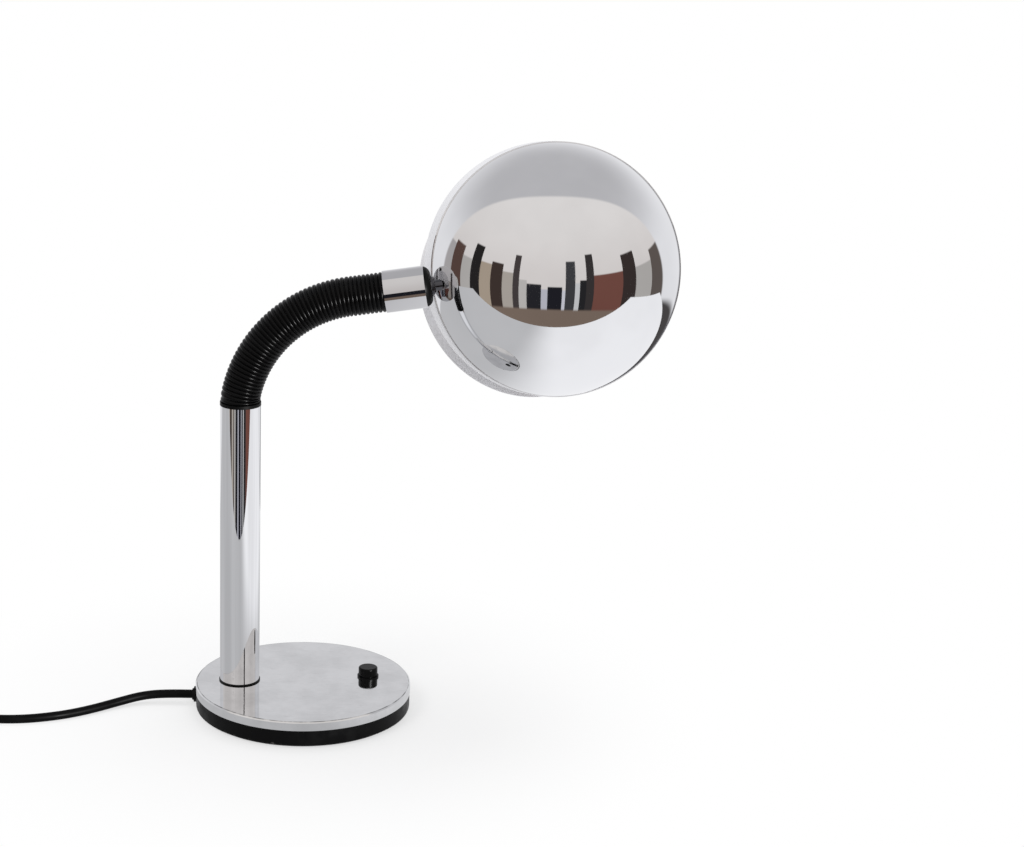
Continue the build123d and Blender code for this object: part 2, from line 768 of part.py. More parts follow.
# Tie round the coil's turns, on the side away from the cord's end
coil_low = coil_centre.Z - cord_radius - tie_clearance
coil_high = coil_centre.Z + coil_pitch + cord_radius + tie_clearance
coil_hole = coil_outer_radius - coil_layer_turns * coil_pitch - coil_pitch / 2 - cord_radius - tie_clearance
coil_rim = coil_outer_radius + cord_radius + coil_pitch / 2 + tie_clearance
tie_middle = (coil_hole + coil_rim) / 2
tie_plane = Plane(
    origin=coil_centre + flat_entry * tie_middle + Vector(0, 0, (coil_low + coil_high) / 2 - coil_centre.Z),
    x_dir=flat_entry,
    z_dir=to_centre,
)
with BuildPart() as cord_tie:
    with BuildSketch(tie_plane.offset(-tie_width / 2)):
        Rectangle(coil_rim - coil_hole + 2 * tie_thickness, coil_high - coil_low + 2 * tie_thickness)
        Rectangle(coil_rim - coil_hole, coil_high - coil_low, mode=Mode.SUBTRACT)
    extrude(amount=tie_width)
keep(cord_tie, "cord_tie")

# Two-pin plug, lying on the table with its cord entry at the height of the coil's upper layer
plug_height = 2 * coil_end.Z
plug_plane = Plane(origin=coil_end, x_dir=(0, 0, 1), z_dir=coil_exit)
with BuildPart() as plug_body:
    with BuildSketch(plug_plane):
        RectangleRounded(plug_height, plug_width, plug_round)
    extrude(amount=plug_length)
keep(plug_body, "plug_body")

with BuildPart() as plug_pins:
    with BuildSketch(plug_plane.offset(plug_length)):
        with GridLocations(0, plug_pin_spacing, 1, 2):
            Circle(plug_pin_radius)
    extrude(amount=plug_pin_length)
keep(plug_pins, "plug_pins")
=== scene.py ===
"""Desk lamp: bright base, stem and ball shade, black ribbed neck, black mains cord."""

import math

import bpy
from mathutils import Matrix, Vector


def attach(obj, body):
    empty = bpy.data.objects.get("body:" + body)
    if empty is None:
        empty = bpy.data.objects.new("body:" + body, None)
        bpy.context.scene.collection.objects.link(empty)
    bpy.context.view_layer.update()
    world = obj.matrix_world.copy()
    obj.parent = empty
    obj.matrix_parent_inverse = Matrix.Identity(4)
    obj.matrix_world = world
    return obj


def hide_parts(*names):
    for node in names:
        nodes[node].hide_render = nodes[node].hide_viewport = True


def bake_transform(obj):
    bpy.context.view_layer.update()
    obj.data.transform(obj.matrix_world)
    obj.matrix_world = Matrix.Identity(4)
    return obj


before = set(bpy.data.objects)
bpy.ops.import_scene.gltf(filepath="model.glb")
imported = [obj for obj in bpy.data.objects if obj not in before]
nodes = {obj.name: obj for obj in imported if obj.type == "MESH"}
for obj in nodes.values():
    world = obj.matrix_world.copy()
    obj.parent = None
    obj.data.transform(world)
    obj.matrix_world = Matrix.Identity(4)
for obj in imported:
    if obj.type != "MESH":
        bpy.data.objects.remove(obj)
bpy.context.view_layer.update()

# Sizes of the part, in metres and radians
BASE_RADIUS = 0.0875
COVER_BEVEL = 0.0012
STEM_X = -0.052
STEM_INNER = 0.0145
STEM_TOP = 0.2552
NECK_FOOT_STRAIGHT = 0.004
NECK_FOOT_RADIUS = 0.028
NECK_FOOT_TURN = math.radians(12.0)
NECK_ARC_RADIUS = 0.103
NECK_HEADING = math.radians(80.8)
NECK_END_STRAIGHT = 0.0275
NECK_FOOT_RING = 0.0026
NECK_FOOT_TAIL = 0.020
NECK_END_TAIL = 0.018
NECK_CLEARANCE = 0.0002
RIB_CREST = 0.0158
RIB_VALLEY = 0.0137
SLEEVE_INNER = 0.0155
BALL_CENTRE = Vector((0.192745, 0.0515, 0.360426))
DOME_RADIUS = 0.1035
DOME_INNER = 0.1027
DOME_EDGE = 0.0228
DOME_TURN = math.radians(9.76)
DOME_RISE = math.radians(10.92)
BEAD_WIDTH = 0.0026
BEAD_HEIGHT = 0.0006
BOWL_RADIUS = 0.1023
BOWL_INNER = 0.1015
MOUTH_DISTANCE = 0.060
MOUTH_TURN = math.radians(19.6)
MOUTH_DIP = math.radians(27.5)
LIP_RADIUS = 0.0914
LIP_RISE = 0.003
LIP_THICKNESS = 0.0012
CORD_DIAMETER = 0.007
CORD_EXIT = Vector((-0.0905, 0.0, 0.0))

# Count of the neck's ribs, power of the lip's flare, and arc of the rolled bead in degrees
RIB_COUNT = 48
LIP_FLARE = 0.7
BEAD_START = 38.0
BEAD_SWEEP = 262.0

# Route of the free cord from the tip of the strain relief, and the coil's measures
CORD_ROUTE = [
    (0.0, 0.0, 0.0080),
    (-0.0215, 0.0, 0.0080),
    (-0.0405, -0.0020, 0.0066),
    (-0.0585, -0.0110, 0.0044),
    (-0.0760, -0.0245, 0.0038),
    (-0.0935, -0.0360, 0.0036),
    (-0.1125, -0.0450, 0.0038),
    (-0.1335, -0.0500, 0.0036),
    (-0.1575, -0.0510, 0.0039),
    (-0.1835, -0.0485, 0.0044),
    (-0.2095, -0.0470, 0.0047),
    (-0.2345, -0.0465, 0.0050),
    (-0.2525, -0.0470, 0.00505),
]
COIL_RADIUS = 0.051
COIL_PITCH = 0.0075
COIL_LAYER_HALVES = 6
COIL_CLIMB_INSET = 0.0012
COIL_TAIL = 0.046
COIL_TAIL_SHARES = (0.0, 0.33, 0.66, 1.0)

# Fineness of the meshes and curves, and the small angle left open at each pole, in radians
COIL_STEPS = 12
CORD_ORDER = 3
CORD_CURVE_STEPS = 8
CORD_BEVEL_STEPS = 6
NECK_SEGMENTS = 112
RIB_STEPS = 12
DOME_SEGMENTS = 288
DOME_STEPS = 140
DOME_INNER_STEPS = 40
BEAD_STEPS = 20
BOWL_SEGMENTS = 256
BOWL_STEPS = 120
FLARE_STEPS = 10
ROLL_STEPS = 8
POLE = 0.0006

# Angles above which an edge stays sharp, in degrees
TURNED_SHARP = 35.0
RIB_SHARP = 60.0
SOLID_SHARP = 30.0

# Camera, worked out from the photograph
CAMERA_PLACE = (0.09555, -1.84567, 0.772)
CAMERA_FORWARD = Vector((0.0353855, 0.9609944, -0.2742949))
CAMERA_ROLL = math.radians(2.03)
CAMERA_REACH = 50.0
SENSOR_WIDTH = 36.0
FOCAL_PIXELS = 2412.0
PHOTO_WIDTH_PIXELS = 1024.0


def make_camera():
    """Camera at the photograph's place, with its small roll."""
    turn = CAMERA_FORWARD.to_track_quat("-Z", "Y").to_matrix().to_4x4()
    roll = Matrix.Rotation(CAMERA_ROLL, 4, "Z")
    data = bpy.data.cameras.new("camera")
    data.sensor_fit = "HORIZONTAL"
    data.sensor_width = SENSOR_WIDTH
    data.lens = SENSOR_WIDTH * FOCAL_PIXELS / PHOTO_WIDTH_PIXELS
    data.clip_end = CAMERA_REACH
    camera = bpy.data.objects.new("camera", data)
    camera.matrix_world = Matrix.Translation(CAMERA_PLACE) @ turn @ roll
    bpy.context.scene.collection.objects.link(camera)
    bpy.context.scene.camera = camera


# Meshes
def smooth(mesh, sharp_angle):
    """Shade a mesh smooth, with its edges sharp above an angle in degrees."""
    mesh.shade_smooth()
    mesh.set_sharp_from_angle(angle=math.radians(sharp_angle))


def add_mesh(name, vertices, faces, sharp_angle):
    """Smooth mesh object in the scene."""
    mesh = bpy.data.meshes.new(name)
    mesh.from_pydata(vertices, [], faces)
    mesh.validate()
    mesh.update()
    smooth(mesh, sharp_angle)
    piece = bpy.data.objects.new(name, mesh)
    bpy.context.scene.collection.objects.link(piece)
    return piece


def lathe(name, profile, origin, axis, segments):
    """Closed ring turned about an axis from (along, radius) points."""
    side = axis.orthogonal().normalized()
    up = axis.cross(side)
    vertices = []
    for along, radius in profile:
        for step in range(segments):
            angle = 2 * math.pi * step / segments
            across = side * math.cos(angle) + up * math.sin(angle)
            vertices.append(origin + axis * along + across * radius)
    faces = []
    for row in range(len(profile)):
        near = row * segments
        far = ((row + 1) % len(profile)) * segments
        for step in range(segments):
            after = (step + 1) % segments
            faces.append((near + step, near + after, far + after, far + step))
    return add_mesh(name, vertices, faces, TURNED_SHARP)


# Materials
class NodeKit:
    """Short names for the node kinds that the materials and the surroundings use."""

    def __init__(self, tree):
        self.tree = tree

    def add(self, kind):
        return self.tree.nodes.new(kind)

    def link(self, source, target):
        self.tree.links.new(source, target)

    def feed(self, socket, value):
        """Give a socket a number, a colour or the output of another node."""
        if isinstance(value, bpy.types.NodeSocket):
            self.link(value, socket)
        elif isinstance(value, tuple):
            socket.default_value = (*value, 1.0)
        else:
            socket.default_value = value

    def math(self, operation, *values):
        node = self.add("ShaderNodeMath")
        node.operation = operation
        for socket, value in zip(node.inputs, values):
            self.feed(socket, value)
        return node.outputs["Value"]

    def span(self, source, low, high, to_low=0.0, to_high=1.0):
        """Source eased from one range into another and clamped."""
        node = self.add("ShaderNodeMapRange")
        node.interpolation_type = "SMOOTHSTEP"
        ranges = {"Value": source, "From Min": low, "From Max": high, "To Min": to_low, "To Max": to_high}
        for socket, value in ranges.items():
            self.feed(node.inputs[socket], value)
        return node.outputs["Result"]

    def mix(self, share, low, high):
        """Colour between two others by a share."""
        node = self.add("ShaderNodeMix")
        node.data_type = "RGBA"
        for socket, value in {"Factor": share, "A": low, "B": high}.items():
            self.feed(node.inputs[socket], value)
        return node.outputs["Result"]

    def parts(self, vector):
        """X, Y and Z of a vector."""
        node = self.add("ShaderNodeSeparateXYZ")
        self.link(vector, node.inputs["Vector"])
        return node.outputs

    def length(self, vector):
        node = self.add("ShaderNodeVectorMath")
        node.operation = "LENGTH"
        self.link(vector, node.inputs[0])
        return node.outputs["Value"]


class Finish(NodeKit):
    """Procedural material round one Principled shader, in object coordinates."""

    def __init__(self, name, color, roughness, metallic=0.0, specular=0.5, transmission=0.0):
        self.material = bpy.data.materials.new(name)
        self.material.use_nodes = True
        super().__init__(self.material.node_tree)
        self.shader = self.tree.nodes["Principled BSDF"]
        self.place = self.add("ShaderNodeTexCoord").outputs["Object"]
        self.feed(self.shader.inputs["Base Color"], color)
        self.feed(self.shader.inputs["Roughness"], roughness)
        self.feed(self.shader.inputs["Metallic"], metallic)
        self.feed(self.shader.inputs["Specular IOR Level"], specular)
        self.feed(self.shader.inputs["Transmission Weight"], transmission)

    def noise(self, cells, detail, stretch=(1.0, 1.0, 1.0), rough=0.55, turn=0.0):
        """Noise of a given number of cells to the metre, turned about Z by some degrees."""
        mapping = self.add("ShaderNodeMapping")
        mapping.vector_type = "TEXTURE"
        mapping.inputs["Scale"].default_value = tuple(1.0 / value for value in stretch)
        mapping.inputs["Rotation"].default_value = (0.0, 0.0, math.radians(turn))
        self.link(self.place, mapping.inputs["Vector"])
        noise = self.add("ShaderNodeTexNoise")
        self.feed(noise.inputs["Scale"], cells)
        self.feed(noise.inputs["Detail"], detail)
        self.feed(noise.inputs["Roughness"], rough)
        self.link(mapping.outputs["Vector"], noise.inputs["Vector"])
        return noise.outputs["Fac"]

    def patches(self, cells, detail, low, high, to_low=0.0, to_high=1.0, **form):
        """Noise eased from a range of its own level into another range."""
        return self.span(self.noise(cells, detail, **form), low, high, to_low, to_high)

    def color(self, share, low, high):
        """Base colour between two colours by a share."""
        self.link(self.mix(share, low, high), self.shader.inputs["Base Color"])

    def roughness(self, level):
        self.link(level, self.shader.inputs["Roughness"])

    def bump(self, height, distance, strength):
        node = self.add("ShaderNodeBump")
        self.feed(node.inputs["Distance"], distance)
        self.feed(node.inputs["Strength"], strength)
        self.link(height, node.inputs["Height"])
        self.link(node.outputs["Normal"], self.shader.inputs["Normal"])


def darker(tone, share):
    return tuple(share * value for value in tone)


def chrome(name, tone, polish, haze):
    """Plated metal with a faint waviness, hazy patches and fine rubbed marks."""
    finish = Finish(name, tone, polish, metallic=1.0)
    hazy = finish.patches(cells=38.0, detail=4.0, low=0.42, high=0.72, to_low=polish, to_high=haze)
    fine = finish.noise(cells=420.0, detail=2.0, stretch=(1.0, 0.12, 0.5))
    marks = finish.span(fine, low=0.62, high=0.78, to_low=0.0, to_high=haze)
    finish.roughness(finish.math("ADD", hazy, marks))
    finish.color(finish.patches(cells=16.0, detail=3.0, low=0.35, high=0.7), tone, darker(tone, share=0.94))
    finish.bump(finish.noise(cells=11.0, detail=1.0), distance=0.00012, strength=0.6)
    return finish.material


def satin(name, tone):
    """Evenly blasted metal with a very fine grain and slow changes of tone."""
    finish = Finish(name, tone, roughness=0.3, metallic=0.35, specular=0.2)
    finish.color(finish.patches(cells=14.0, detail=3.0, low=0.3, high=0.7), tone, darker(tone, share=0.95))
    finish.roughness(finish.patches(cells=24.0, detail=3.0, low=0.3, high=0.7, to_low=0.27, to_high=0.33))
    finish.bump(finish.noise(cells=70.0, detail=2.0), distance=0.00001, strength=0.15)
    return finish.material


def painted_bevel_reflection(finish):
    """Share of a thin, broken painted dark line along the inner edge of the base cover's bevel, standing in
    for the edge's dark reflection.
    """
    flat = finish.add("ShaderNodeVectorMath")
    flat.operation = "MULTIPLY"
    flat.inputs[1].default_value = (1.0, 1.0, 0.0)
    finish.link(finish.place, flat.inputs[0])
    radius = finish.length(flat.outputs["Vector"])
    from_edge = finish.math("ABSOLUTE", finish.math("SUBTRACT", radius, BASE_RADIUS - COVER_BEVEL))
    # Painted reflection: a dark line at the bevel's inner edge, broken up by noise
    line = finish.span(from_edge, low=0.0001, high=0.0006, to_low=1.0, to_high=0.0)
    broken = finish.patches(cells=90.0, detail=5.0, low=0.36, high=0.60, to_low=0.25)
    return finish.math("MULTIPLY", line, broken)


def worn_chrome(name, tone, polish, haze):
    """Plated metal that has been wiped and set down upon: clouds, fine crossing scratches, dull specks, and
    a painted dark reflection line at the bevel's edge.
    """
    cloud_share = 0.65
    mark_share = 0.35
    shade_share = 0.25
    scratch_depth = -0.05
    finish = Finish(name, tone, polish, metallic=1.0)
    clouds = finish.patches(cells=34.0, detail=6.0, low=0.34, high=0.70, rough=0.66)
    across = finish.patches(
        cells=620.0, detail=2.0, low=0.60, high=0.74, stretch=(0.16, 1.0, 1.0), turn=7.0,
    )
    along = finish.patches(
        cells=540.0, detail=2.0, low=0.64, high=0.76, stretch=(0.12, 1.0, 1.0), turn=-31.0,
    )
    specks = finish.patches(cells=760.0, detail=2.0, low=0.70, high=0.76)
    scratches = finish.math("MAXIMUM", across, along)
    marks = finish.math("MAXIMUM", scratches, specks)
    worn = finish.math("MULTIPLY_ADD", marks, mark_share, finish.math("MULTIPLY", clouds, cloud_share))
    # Colour darkens with the wear and with the painted dark reflection line at the bevel
    shade = finish.math("MAXIMUM", finish.math("MULTIPLY", worn, shade_share), painted_bevel_reflection(finish))
    finish.color(shade, tone, darker(tone, share=0.22))
    finish.roughness(finish.span(worn, low=0.0, high=1.0, to_low=polish, to_high=haze))
    waves = finish.noise(cells=20.0, detail=3.0)
    height = finish.math("MULTIPLY_ADD", scratches, scratch_depth, waves)
    finish.bump(height, distance=0.00025, strength=0.6)
    return finish.material


def drawn_chrome(name, tone, polish, haze):
    """Plated tube with faint lengthwise bands from drawing and a few rubbed marks."""
    finish = Finish(name, tone, polish, metallic=1.0)
    bands = finish.patches(cells=190.0, detail=3.0, low=0.34, high=0.68, stretch=(1.0, 1.0, 0.012))
    finish.color(bands, tone, darker(tone, share=0.86))
    rubbed = finish.patches(cells=300.0, detail=3.0, low=0.62, high=0.76, stretch=(1.0, 1.0, 0.2))
    finish.roughness(finish.span(rubbed, low=0.0, high=1.0, to_low=polish, to_high=haze))
    waves = finish.noise(cells=60.0, detail=2.0, stretch=(1.0, 1.0, 0.03))
    finish.bump(waves, distance=0.00006, strength=0.5)
    return finish.material


def plastic(name, dark, light, smoothest, roughest, specular):
    """Moulded plastic or rubber with a fine grain and dull, slightly dusty patches."""
    finish = Finish(name, dark, smoothest, specular=specular)
    finish.color(finish.patches(cells=70.0, detail=5.0, low=0.45, high=0.75), dark, light)
    dull = finish.patches(cells=110.0, detail=4.0, low=0.3, high=0.7, to_low=smoothest, to_high=roughest)
    finish.roughness(dull)
    finish.bump(finish.noise(cells=900.0, detail=2.0), distance=0.00004, strength=0.5)
    return finish.material


def felt(name):
    """Dark felt with fine fibres."""
    finish = Finish(name, color=(0.02, 0.021, 0.02), roughness=0.95)
    fibres = finish.noise(cells=2600.0, detail=3.0)
    dark, light = (0.010, 0.011, 0.010), (0.045, 0.047, 0.045)
    finish.color(finish.span(fibres, low=0.3, high=0.7), dark, light)
    finish.bump(fibres, distance=0.0003, strength=0.8)
    return finish.material


def enamel(name):
    """Black enamel, dull and chipped along its lower edge."""
    black, chipped = (0.0026, 0.0026, 0.0028), (0.20, 0.19, 0.18)
    finish = Finish(name, black, roughness=0.36, specular=0.08)
    height = finish.parts(finish.place)["Z"]
    low_edge = finish.span(height, low=0.0020, high=0.0042, to_low=1.0, to_high=0.0)
    scuffs = finish.patches(
        cells=190.0, detail=7.0, low=0.56, high=0.74, stretch=(1.0, 1.0, 0.5), rough=0.7,
    )
    finish.color(finish.math("MULTIPLY", low_edge, scuffs), black, chipped)
    finish.roughness(finish.patches(cells=90.0, detail=4.0, low=0.3, high=0.7, to_low=0.28, to_high=0.48))
    finish.bump(finish.noise(cells=700.0, detail=3.0), distance=0.00005, strength=0.5)
    return finish.material


def cast_iron(name):
    """Rough dark casting."""
    finish = Finish(name, color=(0.05, 0.05, 0.052), roughness=0.7, metallic=0.6)
    grains = finish.noise(cells=500.0, detail=5.0)
    dark, light = (0.030, 0.030, 0.032), (0.09, 0.085, 0.08)
    finish.color(finish.span(grains, low=0.3, high=0.7), dark, light)
    finish.bump(grains, distance=0.0003, strength=0.7)
    return finish.material


def painted(name, tone, smoothest, roughest):
    """Satin paint with a slight orange peel and faint yellowing."""
    yellowing = (0.95, 0.93, 0.87)
    finish = Finish(name, tone, smoothest)
    aged = tuple(value * share for value, share in zip(tone, yellowing))
    finish.color(finish.patches(cells=20.0, detail=4.0, low=0.35, high=0.75), tone, aged)
    dull = finish.patches(cells=60.0, detail=3.0, low=0.3, high=0.7, to_low=smoothest, to_high=roughest)
    finish.roughness(dull)
    finish.bump(finish.noise(cells=650.0, detail=2.0), distance=0.00006, strength=0.4)
    return finish.material


def opal_glass(name):
    """Milky glass with slow changes of tone and a faint waviness."""
    milk, thick = (0.90, 0.89, 0.86), (0.84, 0.83, 0.80)
    finish = Finish(name, milk, roughness=0.16, transmission=0.25)
    finish.color(finish.patches(cells=45.0, detail=3.0, low=0.3, high=0.7), milk, thick)
    finish.roughness(finish.patches(cells=160.0, detail=3.0, low=0.3, high=0.7, to_low=0.12, to_high=0.24))
    finish.bump(finish.noise(cells=30.0, detail=1.0), distance=0.0001, strength=0.3)
    return finish.material


CHROME = chrome("chrome", (0.85, 0.855, 0.87), polish=0.018, haze=0.045)
BASE_CHROME = worn_chrome("base_chrome", (0.80, 0.805, 0.815), polish=0.035, haze=0.11)
SLEEVE_CHROME = chrome("sleeve_chrome", (0.72, 0.72, 0.735), polish=0.025, haze=0.07)
TUBE_CHROME = drawn_chrome("tube_chrome", (0.86, 0.865, 0.88), polish=0.02, haze=0.07)
SATIN = satin("satin_metal", (0.86, 0.86, 0.88))
DARK_CHROME = chrome("dark_chrome", (0.09, 0.09, 0.10), polish=0.12, haze=0.24)
STEEL = chrome("steel", (0.55, 0.55, 0.56), polish=0.22, haze=0.38)
BRASS = chrome("brass", (0.78, 0.60, 0.30), polish=0.16, haze=0.30)
PINS = chrome("pin_metal", (0.70, 0.68, 0.62), polish=0.15, haze=0.28)
NECK = plastic(
    "neck_plastic", dark=(0.0018, 0.0018, 0.0020), light=(0.004, 0.004, 0.0043),
    smoothest=0.20, roughest=0.32, specular=0.10,
)
RUBBER = plastic(
    "cord_rubber", dark=(0.0020, 0.0020, 0.0022), light=(0.0045, 0.0045, 0.0048),
    smoothest=0.36, roughest=0.52, specular=0.07,
)
BLACK = plastic(
    "black_plastic", dark=(0.0020, 0.0020, 0.0022), light=(0.004, 0.004, 0.0044),
    smoothest=0.16, roughest=0.30, specular=0.10,
)
GASKET = plastic(
    "gasket", dark=(0.002, 0.002, 0.002), light=(0.005, 0.005, 0.005),
    smoothest=0.35, roughest=0.52, specular=0.10,
)
FELT = felt("felt")
ENAMEL = enamel("black_enamel")
IRON = cast_iron("iron")
WHITE = painted("white_paint", (0.86, 0.86, 0.85), smoothest=0.35, roughest=0.5)
CERAMIC = painted("holder_ceramic", (0.80, 0.79, 0.76), smoothest=0.18, roughest=0.3)
GLASS = opal_glass("opal_glass")

NODE_FINISHES = {
    "base_pad": FELT,
    "base_ring": ENAMEL,
    "base_cover": BASE_CHROME,
    "base_weight": IRON,
    "stem_gasket": GASKET,
    "stem_tube": TUBE_CHROME,
    "stem_plug": STEEL,
    "stem_washer": STEEL,
    "stem_nut": STEEL,
    "switch_collar": BLACK,
    "switch_button": BLACK,
    "switch_body": BLACK,
    "gooseneck_cover": NECK,
    "neck_foot_ring": GASKET,
    "neck_sleeve": SLEEVE_CHROME,
    "neck_gasket": GASKET,
    "swivel_cap": DARK_CHROME,
    "swivel_bolt": STEEL,
    "swivel_nut": STEEL,
    "swivel_boss": DARK_CHROME,
    "head_dome": CHROME,
    "dome_bead": CHROME,
    "dome_seal": GASKET,
    "shade_bowl": SATIN,
    "shade_lip": SATIN,
    "pivot_stud": STEEL,
    "pivot_nut": STEEL,
    "holder_plate": STEEL,
    "lamp_holder": CERAMIC,
    "bulb_cap": BRASS,
    "bulb_glass": GLASS,
    "strain_relief": BLACK,
    "lead_in": RUBBER,
    "cord_clamp": BLACK,
    "cord_tube": RUBBER,
    "cord_coil": RUBBER,
    "cord_tie": BLACK,
    "plug_body": BLACK,
    "plug_pins": PINS,
}


def dress(piece, *finishes):
    """Give a piece its materials, in place of any that it has."""
    piece.data.materials.clear()
    for finish in finishes:
        piece.data.materials.append(finish)


# Cord: the route's points, then the coil's turns and the tail to the plug
def coil_points(start, entry):
    """Points of the coil: inwards on the lower layer, then outwards on the upper one."""
    flat_entry = Vector((entry.x, entry.y, 0.0)).normalized()
    to_centre = Vector((-flat_entry.y, flat_entry.x, 0.0))
    first = start + entry.normalized() * CORD_DIAMETER
    centre = first + to_centre * COIL_RADIUS
    knots = []
    for half in range(2 * COIL_LAYER_HALVES + 2):
        inward = min(half, 2 * COIL_LAYER_HALVES + 1 - half)
        radius = COIL_RADIUS - inward * COIL_PITCH / 2
        if inward == COIL_LAYER_HALVES:
            radius -= COIL_CLIMB_INSET
        lift = Vector((0.0, 0.0, COIL_PITCH if half > COIL_LAYER_HALVES else 0.0))
        side = -1.0 if half % 2 == 0 else 1.0
        knots.append((centre + to_centre * side * radius + lift, flat_entry * -side))
    # A curve of order 3 runs a little inside its points, so they stand this much further out
    swell = 1.0 / (0.75 + 0.25 * math.cos(math.pi / COIL_STEPS))
    points = []
    for (near, heading), (far, _) in zip(knots, knots[1:]):
        middle = (near + far) / 2
        reach = (far - near).length / 2
        for step in range(COIL_STEPS):
            angle = math.pi * step / COIL_STEPS
            turn = (near - middle) * math.cos(angle) + heading * reach * math.sin(angle)
            points.append(middle + turn * swell)
    last, heading = knots[-1]
    points.extend(last + heading * COIL_TAIL * share for share in COIL_TAIL_SHARES)
    return points


def make_cord():
    """Cord as one round tube along its route and its coil."""
    route = [CORD_EXIT + Vector(point) for point in CORD_ROUTE]
    route += coil_points(route[-1], route[-1] - route[-2])
    curve = bpy.data.curves.new("cord", "CURVE")
    curve.dimensions = "3D"
    curve.bevel_depth = CORD_DIAMETER / 2
    curve.bevel_resolution = CORD_BEVEL_STEPS
    curve.resolution_u = CORD_CURVE_STEPS
    curve.use_fill_caps = True
    spline = curve.splines.new("NURBS")
    spline.points.add(len(route) - 1)
    for point, place in zip(spline.points, route):
        point.co = (*place, 1.0)
    spline.order_u = CORD_ORDER
    spline.use_endpoint_u = True
    cord = bpy.data.objects.new("cord", curve)
    bpy.context.scene.collection.objects.link(cord)
    dress(cord, RUBBER)
    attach(cord, "base")
    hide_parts("cord_tube", "cord_coil")
    return cord


# Flexible neck
def neck_station(along):
    """Place on the neck's centre line at a length above the stem, and its heading from vertical."""
    x, z, turn = STEM_X, STEM_TOP, 0.0
    stretches = (
        (NECK_FOOT_STRAIGHT, 0.0),
        (NECK_FOOT_RADIUS * NECK_FOOT_TURN, 1 / NECK_FOOT_RADIUS),
        (NECK_ARC_RADIUS * (NECK_HEADING - NECK_FOOT_TURN), 1 / NECK_ARC_RADIUS),
        (math.inf, 0.0),
    )
    for length, curvature in stretches:
        step = min(along, length)
        if curvature:
            end_turn = turn + step * curvature
            x += (math.cos(turn) - math.cos(end_turn)) / curvature
            z += (math.sin(end_turn) - math.sin(turn)) / curvature
            turn = end_turn
        else:
            x += step * math.sin(turn)
            z += step * math.cos(turn)
        along -= step
    return Vector((x, 0.0, z)), turn


NECK_LENGTH = (
    NECK_FOOT_STRAIGHT
    + NECK_FOOT_RADIUS * NECK_FOOT_TURN
    + NECK_ARC_RADIUS * (NECK_HEADING - NECK_FOOT_TURN)
    + NECK_END_STRAIGHT
)
SLEEVE_START, _ = neck_station(NECK_LENGTH)


def neck_rings():
    """Rings (along, radius) of the neck: a tail in the stem, the ribs, a tail in the sleeve."""
    pitch = (NECK_LENGTH - NECK_FOOT_RING) / RIB_COUNT
    foot_radius = STEM_INNER - NECK_CLEARANCE
    end_radius = SLEEVE_INNER - NECK_CLEARANCE
    rings = [(-NECK_FOOT_TAIL, foot_radius), (NECK_FOOT_RING - NECK_CLEARANCE, foot_radius)]
    for rib in range(RIB_COUNT):
        for step in range(RIB_STEPS):
            share = (step + 0.5) / RIB_STEPS
            bulge = math.sqrt(1.0 - (2.0 * share - 1.0) ** 2)
            along = NECK_FOOT_RING + (rib + share) * pitch
            rings.append((along, RIB_VALLEY + (RIB_CREST - RIB_VALLEY) * bulge))
    rings.append((NECK_LENGTH, end_radius))
    rings.append((NECK_LENGTH + NECK_END_TAIL, end_radius))
    return rings


def make_neck():
    """Round ribs close together along the bent neck, with a plain tail at each end."""
    rings = neck_rings()
    vertices = []
    for along, radius in rings:
        place, turn = neck_station(along)
        across = Vector((math.cos(turn), 0.0, -math.sin(turn)))
        for step in range(NECK_SEGMENTS):
            angle = 2 * math.pi * step / NECK_SEGMENTS
            sideways = Vector((0, radius * math.sin(angle), 0))
            vertices.append(place + across * radius * math.cos(angle) + sideways)
    faces = []
    for row in range(len(rings) - 1):
        for step in range(NECK_SEGMENTS):
            near = row * NECK_SEGMENTS + step
            after = row * NECK_SEGMENTS + (step + 1) % NECK_SEGMENTS
            faces.append((near, after, after + NECK_SEGMENTS, near + NECK_SEGMENTS))
    faces.append(tuple(reversed(range(NECK_SEGMENTS))))
    faces.append(tuple(range(len(vertices) - NECK_SEGMENTS, len(vertices))))
    neck = add_mesh("neck_ribs", vertices, faces, RIB_SHARP)
    dress(neck, NECK)
    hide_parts("gooseneck_cover")
    neck_station(0.0)[0]
    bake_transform(neck)
    return neck


# Head
DOME_AXIS = Vector((
    math.sin(DOME_TURN) * math.cos(DOME_RISE),
    -math.cos(DOME_TURN) * math.cos(DOME_RISE),
    math.sin(DOME_RISE),
)).normalized()
MOUTH_AXIS = Vector((
    -math.sin(MOUTH_TURN) * math.cos(MOUTH_DIP),
    math.cos(MOUTH_TURN) * math.cos(MOUTH_DIP),
    -math.sin(MOUTH_DIP),
)).normalized()


def arc(radius, start, end, steps):
    """Points (along, radius) of a circle round the ball's centre, between two angles from its axis."""
    angles = [start + (end - start) * step / steps for step in range(steps + 1)]
    return [(radius * math.cos(angle), radius * math.sin(angle)) for angle in angles]


def make_dome():
    """Bright dome with a rolled bead round its edge."""
    half_width = BEAD_WIDTH / 2
    half_height = (DOME_RADIUS + BEAD_HEIGHT - DOME_INNER) / 2
    bead_along = DOME_EDGE - half_width
    bead_across = math.sqrt((DOME_INNER + half_height) ** 2 - bead_along**2)
    outer = arc(DOME_RADIUS, POLE, math.acos(DOME_EDGE / DOME_RADIUS), DOME_STEPS)
    bead = []
    for step in range(BEAD_STEPS + 1):
        angle = math.radians(BEAD_START - BEAD_SWEEP * step / BEAD_STEPS)
        along = bead_along + half_width * math.cos(angle)
        bead.append((along, bead_across + half_height * math.sin(angle)))
    inner = arc(DOME_INNER, math.acos(DOME_EDGE / DOME_INNER), POLE, DOME_INNER_STEPS)
    dome = lathe("dome_shell", outer + bead + inner, BALL_CENTRE, DOME_AXIS, DOME_SEGMENTS)
    dress(dome, CHROME)
    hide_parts("head_dome", "dome_bead")
    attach(dome, "head")


